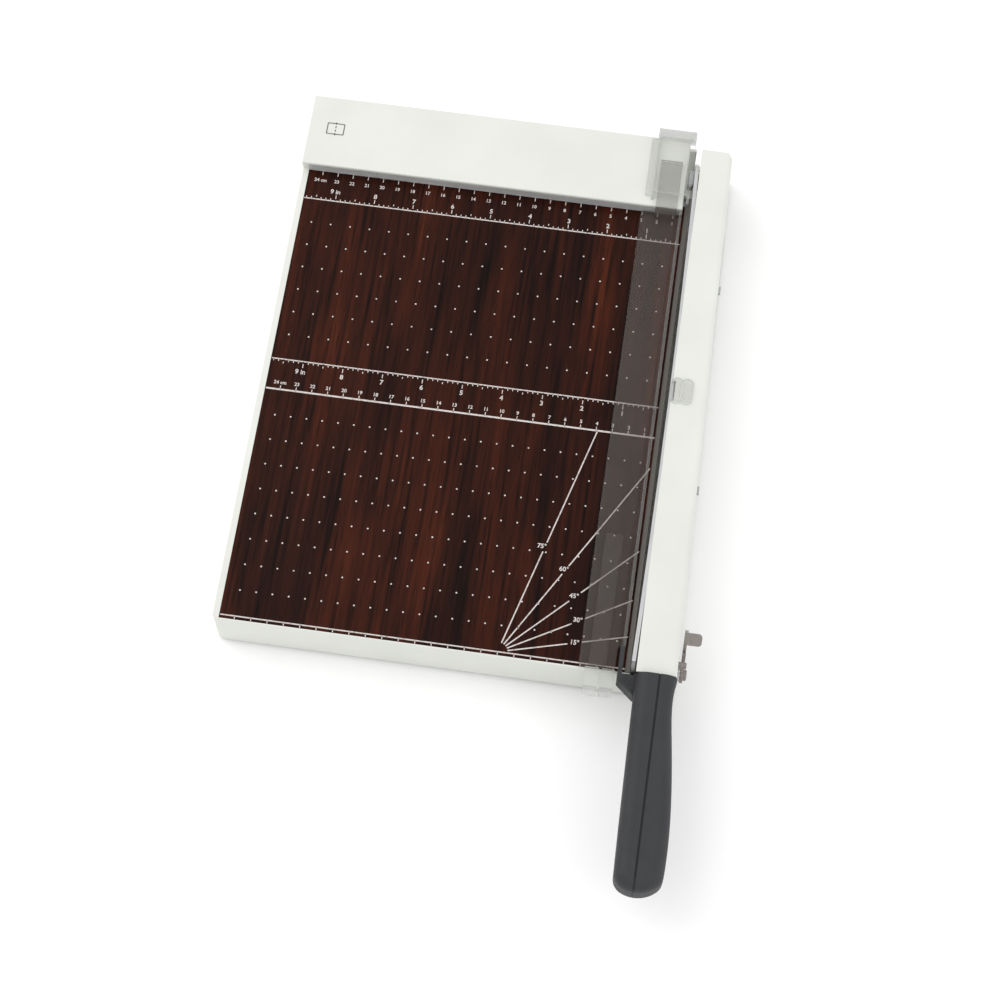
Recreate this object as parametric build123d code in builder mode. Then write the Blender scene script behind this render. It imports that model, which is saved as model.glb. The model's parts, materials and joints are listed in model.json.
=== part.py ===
"""Guillotine paper cutter: an A4 board with a hinged blade arm, a clear guard and a swing latch.

Millimetres, +Z up. The origin is the middle of the whole footprint, handle included, on the table.
The board lies to the left of the cutting line and the handle points to -Y. Most places are given from
three references: across from the cutting line, along from the printed front line, up from the board.
"""
import math
import os

from build123d import *

os.makedirs("parts", exist_ok=True)

# Base and board
board_width = 249.5
left_rim = 4.0
wing_width = 28.0
wing_taper = 3.5
base_depth = 367.5
front_margin = 3.6
board_z = 36.0
shell_depth = 34.0
rim_lift = 0.4
wall = 2.5
deck_thickness = 2.6
board_thickness = 2.0
plate_thickness = 1.2
corner_radius = 4.0
rib_columns = 3
rib_rows = 4

# Limits of the base
base_left = -board_width - left_rim
base_right = wing_width
base_front = -front_margin
base_back = base_depth - front_margin
shell_floor = -shell_depth
plate_top = shell_floor + plate_thickness
board_front = base_front + 1.2
board_back = 320.0
fence_front = 312.3
fence_top = 9.2
fence_right = -4.5
fence_wall = 2.2
fence_screw_xs = (-215.0, -130.0, -45.0)
fence_screw_y = 345.0

# Cutting side
bed_width = 14.2
bed_floor = -14.0
bed_back = 326.0
fixed_blade_thickness = 3.0
fixed_blade_lift = 0.2
fixed_screw_ys = (14.0, 90.0, 166.0, 242.0, 312.0)
bed_screw_ys = (45.0, 135.0, 225.0, 300.0)
trough_floor = -22.0
wing_top = -9.5
rear_notch = 308.0
blade_thickness = 2.4
blade_gap = 0.15
blade_bow = 1.9
blade_front = 1.0
blade_top = 13.5
blade_screw_ys = (25.0, 170.0, 300.0)
blade_screw_z = 6.0
blade_head_depth = 1.35

# Arm
pivot_y = 338.0
pivot_z = 2.0
pin_radius = 4.0
running_gap = 0.05
cover_left = 5.2
cover_right = 27.8
cover_taper = 4.4
cover_bottom = -7.0
cover_top = 15.0
cover_front = -5.5
cover_back = 355.0
cover_wall = 2.0
lip_left = 3.4
lip_bottom = 13.7
channel_left = 7.4
channel_play = 0.2
channel_bottom = -5.0
channel_top = 12.8
channel_front = -3.2
channel_back = 350.0
channel_wall = 2.0
spacer_radius = 4.0
tang_x = 17.6
tang_thickness = 6.0
tang_bottom = -3.5
tang_top = channel_top - channel_wall
tang_front = -112.0
tang_back = 44.0
tang_screw_ys = (8.0, 34.0)
cover_screw_ys = (120.0, 260.0)
cover_screw_z = 3.0
bush_radius = 5.5
bracket_x = 11.2
bracket_thickness = 3.0
bracket_flange_right = 21.6
bracket_screw_x = 18.0
bracket_screw_ys = (326.0, 350.0)
spring_stack = 2.4
nut_height = 2.4

# Handle
handle_left = 3.4
handle_root = -6.2
handle_end = -136.8
handle_bottom = -7.0
handle_top = 18.5
handle_corner = 9.0
screw_seat = 7.4
seam_groove = 0.6
handle_screw_ys = (-30.0, -68.0, -104.0)
handle_screw_z = 3.6
collar_left = -7.4
collar_bottom = -2.0
collar_top = 9.5
stop_back = 11.0
stop_bottom = 7.0
stop_width = 2.8
stop_play = 1.6

# Guide clip
clip_y = 180.0
clip_xs = (6.2, 12.6)
clip_length = 17.5
clip_base = 1.3
clip_reach = 6.5

# Guard
guard_left = -31.0
guard_chamfer = 1.3
guard_right = -4.5
guard_bottom = 0.8
guard_top = 2.8
guard_front = -2.8
guard_back = 311.6
fin_top = 9.5
fin_thickness = 1.8
pad_left = -25.2
pad_right = -14.6
tongue_left = -22.0
tongue_right = -8.0
tongue_bottom = 9.8
tongue_thickness = 1.7
tab_spans = ((-27.0, -18.4), (-16.8, -9.0))
tab_front = -17.0
tab_top = 4.3
tab_bottom = -8.5
tab_thickness = 3.4
bracket_front = 316.0
bracket_back = 366.8
bracket_top = 16.2
bracket_left = -25.8
bracket_right = -1.2
bracket_wall = 1.8

# Latch
latch_y = 6.0
latch_z = -14.0
latch_plate_x = 30.0
latch_thickness = 2.0
latch_lean = 60.0
latch_length = 26.5
latch_pin_radius = 1.8
latch_tab_width = 7.5
latch_tab_reach = 8.6
catch_height = 17.0
stud_radius = 2.0

# Feet
foot_radius = 9.0
foot_spots = ((-236.0, 16.0), (10.0, 26.0), (-236.0, 344.0), (-24.0, 344.0))
foot_boss_radius = 6.0

# Fasteners
pilot_radius = 1.35
clearance_radius = 1.8
head_lift = 0.04

# The footprint's middle is the origin
overall_right = latch_plate_x + latch_thickness - 0.1 + latch_tab_reach
cut_x = -(base_left + overall_right) / 2
line_y = -(handle_end + bracket_back) / 2


def level(up):
    """Return the horizontal plane at this height over the board."""
    return Plane(origin=(cut_x, line_y, board_z + up))


def side(across):
    """Return the upright plane along the cutting line, facing +X."""
    return Plane(origin=(cut_x + across, line_y, board_z), x_dir=(0, 1, 0), z_dir=(1, 0, 0))


def section(along):
    """Return the upright plane across the cutting line, facing -Y."""
    return Plane(origin=(cut_x, line_y + along, board_z), x_dir=(1, 0, 0), z_dir=(0, -1, 0))


def block(across, along, up, mode=Mode.ADD):
    """Add or cut a box between pairs of limits."""
    middle = (
        cut_x + sum(across) / 2,
        line_y + sum(along) / 2,
        board_z + sum(up) / 2,
    )
    with Locations(middle):
        Box(across[1] - across[0], along[1] - along[0], up[1] - up[0], mode=mode)


def post(spot, up, radius, mode=Mode.ADD):
    """Add or cut an upright cylinder."""
    with Locations((cut_x + spot[0], line_y + spot[1], board_z + (up[0] + up[1]) / 2)):
        Cylinder(radius, up[1] - up[0], mode=mode)


def rod(across, spot, radius, mode=Mode.ADD):
    """Add or cut a cylinder along X at (along, up)."""
    middle = (cut_x + (across[0] + across[1]) / 2, line_y + spot[0], board_z + spot[1])
    with Locations(Location(middle, (0, 90, 0))):
        Cylinder(radius, across[1] - across[0], mode=mode)


def wing_edge(along):
    """Return where the wing's outer edge is at this place: the wing narrows towards the back."""
    return base_right - wing_taper * (along - base_front) / base_depth


def arm_edge(along):
    """Return where the arm cover's outer edge is at this place."""
    return cover_right - cover_taper * (along - cover_front) / (cover_back - cover_front)


def wedge(left, edge, inset, along, up, mode=Mode.ADD):
    """Add or cut a block whose right side runs parallel to an outer edge, this far inside it."""
    with BuildSketch(level(up[0])) as outline:
        with BuildLine():
            Polyline(
                (left, along[0]),
                (edge(along[0]) - inset, along[0]),
                (edge(along[1]) - inset, along[1]),
                (left, along[1]),
                close=True,
            )
        make_face()
    extrude(outline.sketch, amount=up[1] - up[0], mode=mode)


def bow(along):
    """Return how far the sprung blade stands off the cutting line at this place."""
    half = (pivot_y + 12 - blade_front) / 2
    middle = blade_front + half
    return blade_gap + blade_bow * (1 - ((along - middle) / half) ** 2)


def make_base_shell():
    with BuildPart() as base_shell:
        wedge(base_left, wing_edge, 0, (base_front, base_back), (shell_floor, rim_lift))
        fillet(base_shell.edges().filter_by(Axis.Z), radius=corner_radius)
        fillet(base_shell.faces().sort_by(Axis.Z)[-1].edges(), radius=0.9)
        # Seats for the board, the blade bed and the moving blade
        block((-board_width, -bed_width), (board_front, board_back), (-board_thickness, 5), Mode.SUBTRACT)
        block((-bed_width, 0), (board_front, bed_back), (bed_floor, 5), Mode.SUBTRACT)
        inner_back = base_back - wall
        deep = (base_front + wall, inner_back)
        wedge(0, wing_edge, wall, deep, (trough_floor, 5), Mode.SUBTRACT)
        block((fence_right + 0.3, 1), (bed_back + 2, inner_back), (trough_floor, 5), Mode.SUBTRACT)
        block((0, base_right + 1), (base_front - 1, base_back + 1), (wing_top, 5), Mode.SUBTRACT)
        # Lower the wing behind the fence line, where the arm's tail dips
        with BuildSketch(side(wing_edge(base_back) - wall - 0.5)):
            with BuildLine():
                Polyline(
                    (rear_notch, 5),
                    (rear_notch, wing_top),
                    (rear_notch + 6, trough_floor + 1),
                    (base_back + 1, trough_floor + 1),
                    (base_back + 1, 5),
                    close=True,
                )
            make_face()
        extrude(amount=wall + wing_taper + 1, mode=Mode.SUBTRACT)
        block((0, base_right + 1), (inner_back - 1, base_back + 1), (trough_floor + 1, 5), Mode.SUBTRACT)
        # Underside: a seat for the bottom plate and ribbed pockets over it
        inner_left = base_left + wall
        wedge(inner_left, wing_edge, wall, deep, (shell_floor, plate_top), Mode.SUBTRACT)
        pocket_top = -board_thickness - deck_thickness
        main_right = -bed_width - wall
        column = (main_right - inner_left) / rib_columns
        row = (deep[1] - deep[0]) / rib_rows
        for i in range(rib_columns):
            for j in range(rib_rows):
                across = (inner_left + i * column + wall / 2, inner_left + (i + 1) * column - wall / 2)
                along = (deep[0] + j * row + wall / 2, deep[0] + (j + 1) * row - wall / 2)
                block(across, along, (plate_top, pocket_top), Mode.SUBTRACT)
        for j in range(rib_rows):
            along = (deep[0] + j * row + wall / 2, deep[0] + (j + 1) * row - wall / 2)
            pocket = (plate_top, trough_floor - deck_thickness)
            wedge(main_right + wall, wing_edge, 2 * wall, along, pocket, Mode.SUBTRACT)
        bed_pocket = (plate_top, bed_floor - deck_thickness)
        block((main_right + wall, -wall), (10, bed_back - 12), bed_pocket, Mode.SUBTRACT)
        # Bosses and holes
        for spot in foot_spots:
            boss_top = pocket_top if spot[0] < main_right else trough_floor - deck_thickness
            post(spot, (plate_top, boss_top + 0.5), foot_boss_radius)
            post(spot, (plate_top - 1, plate_top + 7.0), pilot_radius, Mode.SUBTRACT)
        for x in fence_screw_xs:
            post((x, fence_screw_y), (pocket_top - 1, 2), clearance_radius, Mode.SUBTRACT)
        for y in bracket_screw_ys:
            post((bracket_screw_x, y), (plate_top, trough_floor - 1), 4.6)
            post((bracket_screw_x, y), (plate_top + 1, trough_floor + 1), pilot_radius, Mode.SUBTRACT)
        for y in bed_screw_ys:
            spot = (-bed_width / 2 - 1.5, y)
            post(spot, (bed_floor - deck_thickness - 1, bed_floor + 1), clearance_radius, Mode.SUBTRACT)
        rod((base_right - wall - 4, base_right - wall + 0.5), (latch_y, latch_z), 4.4)
        rod((base_right - wall - 5, base_right + 1), (latch_y, latch_z), 1.75, Mode.SUBTRACT)
    base_shell.part.label = "base_shell"
    export_step(base_shell.part, "parts/base_shell.step")


def make_board_panel():
    with BuildPart() as board_panel:
        block(
            (-board_width + 0.1, -fixed_blade_thickness - 0.1),
            (board_front + 0.1, board_back - 0.2),
            (-board_thickness, 0),
        )
    board_panel.part.label = "board_panel"
    export_step(board_panel.part, "parts/board_panel.step")


def make_bottom_plate():
    with BuildPart() as bottom_plate:
        along = (base_front + wall + 0.2, base_back - wall - 0.2)
        wedge(base_left + wall + 0.2, wing_edge, wall + 0.2, along, (shell_floor, plate_top))
        for spot in foot_spots:
            post(spot, (shell_floor - 1, plate_top + 1), clearance_radius, Mode.SUBTRACT)
    bottom_plate.part.label = "bottom_plate"
    export_step(bottom_plate.part, "parts/bottom_plate.step")


def make_feet():
    with BuildPart() as rubber_feet:
        for spot in foot_spots:
            post(spot, (-board_z, shell_floor), foot_radius)
        bottom = rubber_feet.faces().filter_by(Axis.Z).group_by(Axis.Z)[0]
        chamfer(bottom.edges(), length=0.6)
        for spot in foot_spots:
            post(spot, (-board_z - 1, shell_floor + 1), clearance_radius, Mode.SUBTRACT)
            post(spot, (-board_z - 1, -board_z + 1.2), 3.6, Mode.SUBTRACT)
    rubber_feet.part.label = "rubber_feet"
    export_step(rubber_feet.part, "parts/rubber_feet.step")


def make_foot_screws():
    with BuildPart() as foot_screws:
        for spot in foot_spots:
            post(spot, (-board_z + 0.4, -board_z + 1.2), 3.0)
            post(spot, (-board_z + 1.2, plate_top + 6.5), 1.3)
    foot_screws.part.label = "foot_screws"
    export_step(foot_screws.part, "parts/foot_screws.step")


def make_fence_cover():
    with BuildPart() as fence_cover:
        block((base_left, fence_right), (fence_front, base_back), (rim_lift, fence_top))
        fillet(fence_cover.faces().sort_by(Axis.Z)[-1].edges(), radius=1.0)
        # The rail's seat along the front, under the overhanging cap
        across = (base_left - 1, fence_right + 1)
        block(across, (fence_front - 1, fence_front + 1.1), (-1, 7.0), Mode.SUBTRACT)
        block(
            (base_left + fence_wall, fence_right - fence_wall),
            (fence_front + 1.1 + fence_wall, base_back - fence_wall),
            (rim_lift - 1, fence_top - fence_wall),
            Mode.SUBTRACT,
        )
        for x in fence_screw_xs:
            post((x, fence_screw_y), (rim_lift, fence_top - fence_wall + 0.2), 4.0)
            post((x, fence_screw_y), (rim_lift - 1, fence_top - fence_wall), 1.3, Mode.SUBTRACT)
    fence_cover.part.label = "fence_cover"
    export_step(fence_cover.part, "parts/fence_cover.step")


def make_fence_rail():
    with BuildPart() as fence_rail:
        block((-board_width + 0.1, fence_right - 0.1), (fence_front + 0.2, fence_front + 1.0), (0.3, 6.3))
    fence_rail.part.label = "fence_rail"
    export_step(fence_rail.part, "parts/fence_rail.step")


def make_fence_screws():
    pocket_top = -board_thickness - deck_thickness
    with BuildPart() as fence_screws:
        for x in fence_screw_xs:
            post((x, fence_screw_y), (pocket_top - 2.0, pocket_top), 3.2)
            post((x, fence_screw_y), (pocket_top, rim_lift + 5.5), 1.25)
    fence_screws.part.label = "fence_screws"
    export_step(fence_screws.part, "parts/fence_screws.step")


def make_blade_bed():
    with BuildPart() as blade_bed:
        block(
            (-bed_width + 0.1, -fixed_blade_thickness),
            (board_front + 0.1, bed_back - 0.2),
            (bed_floor, -board_thickness),
        )
        for y in fixed_screw_ys:
            rod((-fixed_blade_thickness - 7, -fixed_blade_thickness + 1), (y, -8.0), 1.5, Mode.SUBTRACT)
        for y in bed_screw_ys:
            post((-bed_width / 2 - 1.5, y), (bed_floor - 1, bed_floor + 6), 1.5, Mode.SUBTRACT)
    blade_bed.part.label = "blade_bed"
    export_step(blade_bed.part, "parts/blade_bed.step")


def make_bed_screws():
    head_top = bed_floor - deck_thickness
    with BuildPart() as bed_screws:
        for y in bed_screw_ys:
            post((-bed_width / 2 - 1.5, y), (head_top - 1.8, head_top), 2.8)
            post((-bed_width / 2 - 1.5, y), (head_top, bed_floor + 5.5), 1.45)
    bed_screws.part.label = "bed_screws"
    export_step(bed_screws.part, "parts/bed_screws.step")


def make_fixed_blade():
    with BuildPart() as fixed_blade:
        block(
            (-fixed_blade_thickness, 0),
            (board_front + 0.2, bed_back - 0.2),
            (bed_floor + 0.1, fixed_blade_lift),
        )
        with Locations(side(0)):
            with Locations([(y, -8.0) for y in fixed_screw_ys]):
                CounterSinkHole(radius=1.7, counter_sink_radius=3.2, counter_sink_angle=90)
    fixed_blade.part.label = "fixed_blade"
    export_step(fixed_blade.part, "parts/fixed_blade.step")


def make_fixed_blade_screws():
    with BuildPart() as fixed_blade_screws:
        for y in fixed_screw_ys:
            rod((-fixed_blade_thickness - 6.5, -1.4), (y, -8.0), 1.45)
            middle = (cut_x - 0.8, line_y + y, board_z - 8.0)
            with Locations(Location(middle, (0, 90, 0))):
                Cone(bottom_radius=1.45, top_radius=2.95, height=1.5)
    fixed_blade_screws.part.label = "fixed_blade_screws"
    export_step(fixed_blade_screws.part, "parts/fixed_blade_screws.step")


def make_moving_blade():
    tail = 11.5
    back = pivot_y + 12
    middle = (blade_front + back) / 2
    with BuildPart() as moving_blade:
        with BuildSketch(level(-20)):
            with BuildLine():
                near = ThreePointArc(
                    (blade_gap, blade_front), (blade_gap + blade_bow, middle), (blade_gap, back)
                )
                far = ThreePointArc(
                    (blade_gap + blade_thickness, blade_front),
                    (blade_gap + blade_bow + blade_thickness, middle),
                    (blade_gap + blade_thickness, back),
                )
                Line(near @ 0, far @ 0)
                Line(near @ 1, far @ 1)
            make_face()
        extrude(amount=40)
        with BuildSketch(side(-1)):
            with BuildLine():
                top = Line((blade_front, blade_top), (pivot_y, blade_top))
                end = ThreePointArc(top @ 1, (pivot_y + tail, pivot_z), (pivot_y, pivot_z - tail))
                edge = ThreePointArc(end @ 1, (175, -17.5), (blade_front, -12))
                Line(edge @ 1, top @ 0)
            make_face()
        extrude(amount=8, mode=Mode.INTERSECT)
        rod((-1, 6), (pivot_y, pivot_z), 4.6, Mode.SUBTRACT)
        for y in blade_screw_ys:
            rod((-1, 6), (y, blade_screw_z), 1.7, Mode.SUBTRACT)
            rod((-1, bow(y) + blade_head_depth), (y, blade_screw_z), 3.1, Mode.SUBTRACT)
    moving_blade.part.label = "moving_blade"
    export_step(moving_blade.part, "parts/moving_blade.step")


def make_blade_screws():
    with BuildPart() as blade_screws:
        for y in blade_screw_ys:
            head = (bow(y) + 0.15, bow(y) + blade_head_depth)
            rod(head, (y, blade_screw_z), 2.9)
            rod((head[1], channel_left + channel_wall + 1), (y, blade_screw_z), 1.45)
    blade_screws.part.label = "blade_screws"
    export_step(blade_screws.part, "parts/blade_screws.step")


def make_blade_spacers():
    with BuildPart() as blade_spacers:
        for y in blade_screw_ys:
            span = (bow(y) + blade_thickness + 0.12, channel_left)
            rod(span, (y, blade_screw_z), spacer_radius)
            rod(span, (y, blade_screw_z), 1.7, Mode.SUBTRACT)
    blade_spacers.part.label = "blade_spacers"
    export_step(blade_spacers.part, "parts/blade_spacers.step")


def make_arm_channel():
    inset = cover_wall + channel_play
    with BuildPart() as arm_channel:
        along = (channel_front, channel_back)
        wedge(channel_left, arm_edge, inset, along, (channel_bottom, channel_top))
        wedge(
            channel_left + channel_wall,
            arm_edge,
            inset + channel_wall,
            (channel_front - 1, channel_back + 1),
            (channel_bottom - 1, channel_top - channel_wall),
            Mode.SUBTRACT,
        )
        rod((channel_left - 1, channel_left + 3), (pivot_y, pivot_z), bush_radius, Mode.SUBTRACT)
        for y in blade_screw_ys:
            rod((channel_left - 1, channel_left + 3), (y, blade_screw_z), 1.5, Mode.SUBTRACT)
        for y in tang_screw_ys:
            post((tang_x, y), (tang_top - 1, channel_top + 1), 1.7, Mode.SUBTRACT)
        for y in cover_screw_ys:
            outside = arm_edge(y)
            rod((outside - inset - 3, outside), (y, cover_screw_z), 1.3, Mode.SUBTRACT)
        outside = arm_edge(latch_y)
        rod((outside - inset - 3, outside), (latch_y, latch_z + catch_height), 1.5, Mode.SUBTRACT)
    arm_channel.part.label = "arm_channel"
    export_step(arm_channel.part, "parts/arm_channel.step")


def make_arm_cover():
    with BuildPart() as arm_cover:
        with BuildSketch(level(cover_bottom)):
            with BuildLine():
                Polyline(
                    (cover_left, cover_front),
                    (cover_right, cover_front),
                    (arm_edge(cover_back - 4), cover_back - 4),
                    (arm_edge(cover_back) - 3, cover_back),
                    (cover_left, cover_back),
                    close=True,
                )
            make_face()
        extrude(amount=cover_top - cover_bottom)
        upper = arm_cover.faces().sort_by(Axis.Z)[-1].edges()
        fillet(upper.sort_by(Axis.X)[-1], radius=2.6)
        lip = arm_cover.edges().filter_by(Axis.Y).group_by(Axis.Z)[-1].sort_by(Axis.X)[0]
        fillet(lip, radius=0.7)
        # A thin lip reaches over the blade's back, with a gap for the guide clip
        block((lip_left, cover_left + 1), (cover_front, cover_back), (lip_bottom, cover_top))
        gap = (clip_y - clip_reach - 0.5, clip_y + clip_reach + 0.5)
        block((lip_left - 1, cover_left - 0.1), gap, (lip_bottom - 1, cover_top + 1), Mode.SUBTRACT)
        along = (cover_front + cover_wall, cover_back - cover_wall)
        height = (cover_bottom - 1, cover_top - cover_wall)
        wedge(cover_left + cover_wall, arm_edge, cover_wall, along, height, Mode.SUBTRACT)
        # The tail is open below, so that it clears the pivot bracket when the arm is up
        wedge(cover_left + cover_wall, arm_edge, cover_wall, (350, 356), (-8, 4), Mode.SUBTRACT)
        # The front end lets the tang through
        gap = tang_thickness / 2 + 0.4
        block((tang_x - gap, tang_x + gap), (-7, 0), (-8, tang_top + 0.4), Mode.SUBTRACT)
        rod((cover_left - 1, cover_left + 2.5), (pivot_y, pivot_z), bush_radius + 0.4, Mode.SUBTRACT)
        for y in blade_screw_ys:
            rod((cover_left - 1, cover_left + 2.5), (y, blade_screw_z), spacer_radius + 0.3, Mode.SUBTRACT)
        for y in cover_screw_ys:
            rod((arm_edge(y) - 3, arm_edge(y) + 1), (y, cover_screw_z), 1.6, Mode.SUBTRACT)
        outside = arm_edge(latch_y)
        rod((outside - 3, outside + 1), (latch_y, latch_z + catch_height), 1.6, Mode.SUBTRACT)
    arm_cover.part.label = "arm_cover"
    export_step(arm_cover.part, "parts/arm_cover.step")


def make_cover_screws():
    with BuildPart() as cover_screws:
        for y in cover_screw_ys:
            head = arm_edge(y) + head_lift
            rod((head - cover_wall - channel_play - 2.5, head), (y, cover_screw_z), 1.25)
            rod((head, head + 1.5), (y, cover_screw_z), 2.8)
    cover_screws.part.label = "cover_screws"
    export_step(cover_screws.part, "parts/cover_screws.step")


def make_handle_tang():
    with BuildPart() as handle_tang:
        half = tang_thickness / 2
        block((tang_x - half, tang_x + half), (tang_front, tang_back), (tang_bottom, tang_top))
        for y in tang_screw_ys:
            post((tang_x, y), (tang_top - 8, tang_top + 1), 1.3, Mode.SUBTRACT)
        for y in handle_screw_ys:
            rod((tang_x - 5, tang_x + 5), (y, handle_screw_z), 2.0, Mode.SUBTRACT)
    handle_tang.part.label = "handle_tang"
    export_step(handle_tang.part, "parts/handle_tang.step")


def make_tang_screws():
    with BuildPart() as tang_screws:
        for y in tang_screw_ys:
            post((tang_x, y), (tang_top - 7.5, channel_top), 1.25)
    tang_screws.part.label = "tang_screws"
    export_step(tang_screws.part, "parts/tang_screws.step")


def make_handle_half(kept_side):
    """Make one half shell of the grip, on the kept side of its seam."""
    with BuildPart() as shell:
        with BuildSketch(level(handle_bottom)):
            with BuildLine():
                root = Line((handle_left, handle_root), (cover_right + 0.6, handle_root))
                far = Spline(root @ 1, (27.2, -19), (29.3, -44), (33.3, -82), (34.4, -105), (33.8, -129))
                tip = ThreePointArc(far @ 1, (19.5, handle_end), (5.4, -131.5))
                Spline(tip @ 1, (4.6, -90), (4.0, -50), root @ 0)
            make_face()
        extrude(amount=handle_top - handle_bottom)
        corners = shell.edges().filter_by(Axis.Z).sort_by(Axis.Y)[:2]
        fillet(corners, radius=handle_corner)
        loops = shell.faces().filter_by(Axis.Z).edges()
        fillet(loops.filter_by(lambda edge: edge.center().Y < line_y + handle_root - 1), radius=7.5)
        # Finger stop beside the blade
        with BuildSketch(level(collar_bottom)):
            with BuildLine():
                Polyline(
                    (collar_left, handle_root),
                    (collar_left, handle_root - 4),
                    (3.0, -19),
                    (12.0, -19),
                    (12.0, handle_root),
                    close=True,
                )
            make_face()
        extrude(amount=collar_top - collar_bottom)
        # The stop runs back beside the blade, above the guard's cut corner
        across = (collar_left, collar_left + stop_width)
        block(across, (handle_root - 1, stop_back), (stop_bottom, collar_top))
        half = tang_thickness / 2 + 0.2
        pocket = (tang_x - half, tang_x + half)
        block(pocket, (tang_front - 0.6, 0), (tang_bottom - 0.3, tang_top + 0.3), Mode.SUBTRACT)
        for y in handle_screw_ys:
            rod((tang_x - 8, tang_x + 30), (y, handle_screw_z), 1.5, Mode.SUBTRACT)
            rod((tang_x + screw_seat, tang_x + 30), (y, handle_screw_z), 3.2, Mode.SUBTRACT)
        # A groove marks the seam along the top
        groove = (tang_x - seam_groove, tang_x + seam_groove)
        block(groove, (handle_end + 7, handle_root + 1), (handle_top - seam_groove, handle_top + 1), Mode.SUBTRACT)
        seam = Plane(origin=(cut_x + tang_x, 0, 0), z_dir=(1, 0, 0))
        split(bisect_by=seam, keep=kept_side)
    return shell


def make_handle_shells():
    handle_left = make_handle_half(Keep.BOTTOM)
    handle_left.part.label = "handle_left"
    export_step(handle_left.part, "parts/handle_left.step")
    handle_right = make_handle_half(Keep.TOP)
    handle_right.part.label = "handle_right"
    export_step(handle_right.part, "parts/handle_right.step")


def make_handle_screws():
    with BuildPart() as handle_screws:
        for y in handle_screw_ys:
            rod((tang_x - 7, tang_x + screw_seat), (y, handle_screw_z), 1.4)
            rod((tang_x + screw_seat, tang_x + screw_seat + 2), (y, handle_screw_z), 2.9)
    handle_screws.part.label = "handle_screws"
    export_step(handle_screws.part, "parts/handle_screws.step")


def make_pivot_bracket():
    with BuildPart() as pivot_bracket:
        with BuildSketch(side(bracket_x)):
            with Locations((pivot_y, pivot_z)):
                Circle(7.5)
            with Locations((pivot_y, trough_floor)):
                Rectangle(11, pivot_z - trough_floor, align=(Align.CENTER, Align.MIN))
        extrude(amount=bracket_thickness)
        flange = (bracket_x, bracket_flange_right)
        block(flange, (pivot_y - 18, pivot_y + 18), (trough_floor, trough_floor + 3))
        rod((bracket_x - 1, bracket_x + 5), (pivot_y, pivot_z), pin_radius + running_gap, Mode.SUBTRACT)
        for y in bracket_screw_ys:
            post((bracket_screw_x, y), (trough_floor - 1, trough_floor + 4), clearance_radius, Mode.SUBTRACT)
    pivot_bracket.part.label = "pivot_bracket"
    export_step(pivot_bracket.part, "parts/pivot_bracket.step")


def make_bracket_screws():
    with BuildPart() as bracket_screws:
        for y in bracket_screw_ys:
            post((bracket_screw_x, y), (trough_floor - 6, trough_floor + 3), 1.3)
            post((bracket_screw_x, y), (trough_floor + 3, trough_floor + 5), 3.0)
    bracket_screws.part.label = "bracket_screws"
    export_step(bracket_screws.part, "parts/bracket_screws.step")


def make_pivot_bolt():
    with BuildPart() as pivot_bolt:
        rod((-3.5, -0.1), (pivot_y, pivot_z), 6.0)
        chamfer(pivot_bolt.edges().filter_by(GeomType.CIRCLE).sort_by(Axis.X)[0], length=0.8)
        end = bracket_x + bracket_thickness + spring_stack + nut_height + 0.1
        rod((-0.2, end), (pivot_y, pivot_z), pin_radius)
    pivot_bolt.part.label = "pivot_bolt"
    export_step(pivot_bolt.part, "parts/pivot_bolt.step")


def make_pivot_bush():
    left = bow(pivot_y) + blade_thickness + 0.1
    with BuildPart() as pivot_bush:
        rod((left, bracket_x - 0.1), (pivot_y, pivot_z), bush_radius)
        rod((channel_left + channel_wall, channel_left + channel_wall + 1.4), (pivot_y, pivot_z), 7.5)
        rod((0, bracket_x), (pivot_y, pivot_z), pin_radius + running_gap, Mode.SUBTRACT)
    pivot_bush.part.label = "pivot_bush"
    export_step(pivot_bush.part, "parts/pivot_bush.step")


def make_pivot_springs():
    start = bracket_x + bracket_thickness
    with BuildPart() as pivot_springs:
        with BuildSketch(section(pivot_y)):
            for first, second in ((start, start + 0.9), (start + 1.9, start + 1.0)):
                with BuildLine():
                    Polyline(
                        (second, pivot_z + 4.3),
                        (first, pivot_z + 7.4),
                        (first + 0.4, pivot_z + 7.4),
                        (second + 0.4, pivot_z + 4.3),
                        close=True,
                    )
                make_face()
        revolve(axis=Axis((0, line_y + pivot_y, board_z + pivot_z), (1, 0, 0)))
    pivot_springs.part.label = "pivot_springs"
    export_step(pivot_springs.part, "parts/pivot_springs.step")


def make_pivot_nut():
    start = bracket_x + bracket_thickness + spring_stack
    with BuildPart() as pivot_nut:
        with BuildSketch(side(start)):
            with Locations((pivot_y, pivot_z)):
                RegularPolygon(radius=7.2, side_count=6)
                Circle(pin_radius + 0.02, mode=Mode.SUBTRACT)
        extrude(amount=nut_height)
    pivot_nut.part.label = "pivot_nut"
    export_step(pivot_nut.part, "parts/pivot_nut.step")


def make_arm_bumper():
    with BuildPart() as arm_bumper:
        block((6.0, 24.4), (30, 42), (trough_floor, cover_bottom - 0.3))
        fillet(arm_bumper.edges().filter_by(Axis.Z), radius=2.0)
    arm_bumper.part.label = "arm_bumper"
    export_step(arm_bumper.part, "parts/arm_bumper.step")


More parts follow.
